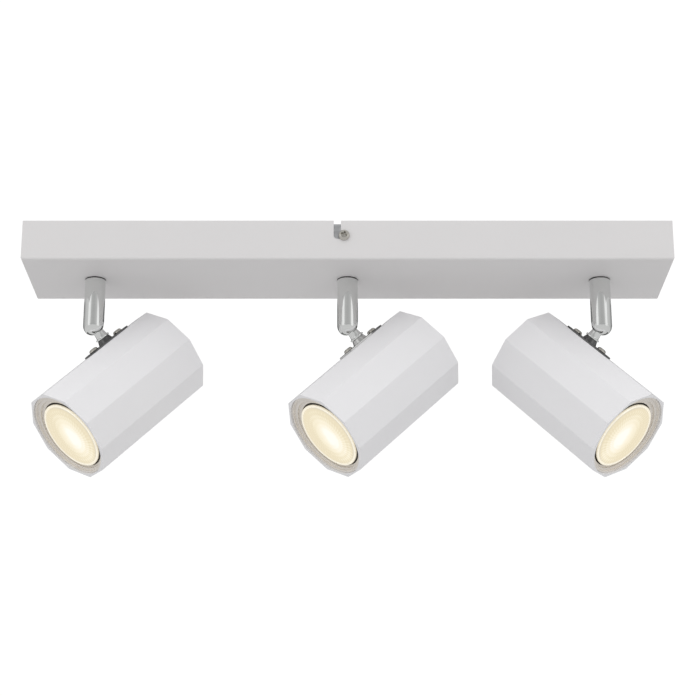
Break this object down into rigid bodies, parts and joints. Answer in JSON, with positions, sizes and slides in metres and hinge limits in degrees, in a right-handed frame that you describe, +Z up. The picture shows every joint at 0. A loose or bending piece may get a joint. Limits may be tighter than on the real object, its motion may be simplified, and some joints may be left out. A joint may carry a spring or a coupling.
{
  "type": "ceiling spotlight bar",
  "caption": "Slim white ceiling bar with a row of ten-sided spotlight heads on short chrome ball-joint stems, each head able to swivel, tilt and turn.",
  "frame": {"origin": "middle of the ceiling face, on top of the ceiling bracket", "axes": "+Z up into the ceiling, +X along the bar, -Y the front side, from which all lamp faces show"},
  "size_m": [0.45, 0.1023, 0.17],
  "materials": {
    "white_steel": "matte white powder coat on folded steel",
    "white_aluminium": "matte white powder coat on extruded aluminium",
    "chrome": "polished plating",
    "zinc_steel": "bright zinc plate",
    "screw_steel": "nickel plate",
    "spring_steel": "plain spring wire",
    "black_nylon": "moulded nylon",
    "white_nylon": "moulded nylon",
    "brass": "plain",
    "brown_lead": "smooth insulation",
    "blue_lead": "smooth insulation",
    "earth_lead": "green insulation with a yellow stripe",
    "heat_sleeve": "woven glass sleeve",
    "ceramic": "unglazed",
    "trim_steel": "satin pressed ring",
    "lamp_glass": "pressed glass with a mirror coat",
    "lamp_face": "faceted front glass, lit warm white"
  },
  "bodies": {
    "bar": {"bar_cover": "white_steel", "ceiling_bracket": "zinc_steel", "bracket_screws": "screw_steel", "swivel_washers": "black_nylon", "terminal_block": "white_nylon", "terminal_clamps": "brass", "live_wires": "brown_lead", "neutral_wires": "blue_lead", "earth_wires": "earth_lead"},
    "stem_1": {"stem_1": "chrome", "stem_nipple_1": "zinc_steel", "stem_nut_1": "zinc_steel", "pressure_cup_1": "white_nylon", "joint_spring_1": "spring_steel"},
    "neck_1": {"swivel_ball_1": "chrome"},
    "head_1": {"mounting_plate_1": "chrome", "head_screws_1": "screw_steel", "holder_bracket_1": "zinc_steel", "head_shell_1": "white_aluminium", "rear_cap_1": "white_steel", "lamp_holder_1": "ceramic", "trim_ring_1": "trim_steel", "head_wires_1": "heat_sleeve"},
    "lamp_1": {"lamp_reflector_1": "lamp_glass", "lamp_lens_1": "lamp_face", "lamp_pins_1": "screw_steel"},
    "stem_2": {"stem_2": "chrome", "stem_nipple_2": "zinc_steel", "stem_nut_2": "zinc_steel", "pressure_cup_2": "white_nylon", "joint_spring_2": "spring_steel"},
    "neck_2": {"swivel_ball_2": "chrome"},
    "head_2": {"mounting_plate_2": "chrome", "head_screws_2": "screw_steel", "holder_bracket_2": "zinc_steel", "head_shell_2": "white_aluminium", "rear_cap_2": "white_steel", "lamp_holder_2": "ceramic", "trim_ring_2": "trim_steel", "head_wires_2": "heat_sleeve"},
    "lamp_2": {"lamp_reflector_2": "lamp_glass", "lamp_lens_2": "lamp_face", "lamp_pins_2": "screw_steel"},
    "stem_3": {"stem_3": "chrome", "stem_nipple_3": "zinc_steel", "stem_nut_3": "zinc_steel", "pressure_cup_3": "white_nylon", "joint_spring_3": "spring_steel"},
    "neck_3": {"swivel_ball_3": "chrome"},
    "head_3": {"mounting_plate_3": "chrome", "head_screws_3": "screw_steel", "holder_bracket_3": "zinc_steel", "head_shell_3": "white_aluminium", "rear_cap_3": "white_steel", "lamp_holder_3": "ceramic", "trim_ring_3": "trim_steel", "head_wires_3": "heat_sleeve"},
    "lamp_3": {"lamp_reflector_3": "lamp_glass", "lamp_lens_3": "lamp_face", "lamp_pins_3": "screw_steel"}
  },
  "joints": [
    {"name": "stem_swivel_1", "type": "hinge", "parent": "bar", "child": "stem_1", "pos_m": [-0.178, 0, -0.0635], "axis": [0, 0, 1], "range_deg": [-170, 170]},
    {"name": "ball_tilt_1", "type": "hinge", "parent": "stem_1", "child": "neck_1", "pos_m": [-0.178, 0, -0.0635], "axis": [0.5075, -0.8616, 0], "range_deg": [-44.5, 43.5]},
    {"name": "head_turn_1", "type": "hinge", "parent": "neck_1", "child": "head_1", "pos_m": [-0.178, 0, -0.0635], "axis": [0.6039, 0.3557, -0.7133], "range_deg": [-90, 90]},
    {"name": "lamp_twist_1", "type": "hinge", "parent": "head_1", "child": "lamp_1", "pos_m": [-0.14808, 0.01763, -0.09884], "axis": [-0.6146, -0.362, -0.7009], "range_deg": [0, 30]},
    {"name": "stem_swivel_2", "type": "hinge", "parent": "bar", "child": "stem_2", "pos_m": [0, 0, -0.0635], "axis": [0, 0, 1], "range_deg": [-170, 170]},
    {"name": "ball_tilt_2", "type": "hinge", "parent": "stem_2", "child": "neck_2", "pos_m": [0, 0, -0.0635], "axis": [0.3987, -0.9171, 0], "range_deg": [-43.5, 44.5]},
    {"name": "head_turn_2", "type": "hinge", "parent": "neck_2", "child": "head_2", "pos_m": [0, 0, -0.0635], "axis": [0.6313, 0.2745, -0.7254], "range_deg": [-90, 90]},
    {"name": "lamp_twist_2", "type": "hinge", "parent": "head_2", "child": "lamp_2", "pos_m": [0.03128, 0.0136, -0.09944], "axis": [-0.6652, -0.2892, -0.6884], "range_deg": [0, 30]},
    {"name": "stem_swivel_3", "type": "hinge", "parent": "bar", "child": "stem_3", "pos_m": [0.178, 0, -0.0635], "axis": [0, 0, 1], "range_deg": [-170, 170]},
    {"name": "ball_tilt_3", "type": "hinge", "parent": "stem_3", "child": "neck_3", "pos_m": [0.178, 0, -0.0635], "axis": [0.5075, 0.8616, 0], "range_deg": [-44.5, 43.5]},
    {"name": "head_turn_3", "type": "hinge", "parent": "neck_3", "child": "head_3", "pos_m": [0.178, 0, -0.0635], "axis": [-0.6039, 0.3557, -0.7133], "range_deg": [-90, 90]},
    {"name": "lamp_twist_3", "type": "hinge", "parent": "head_3", "child": "lamp_3", "pos_m": [0.14808, 0.01763, -0.09884], "axis": [0.6146, -0.362, -0.7009], "range_deg": [0, 30]}
  ]
}
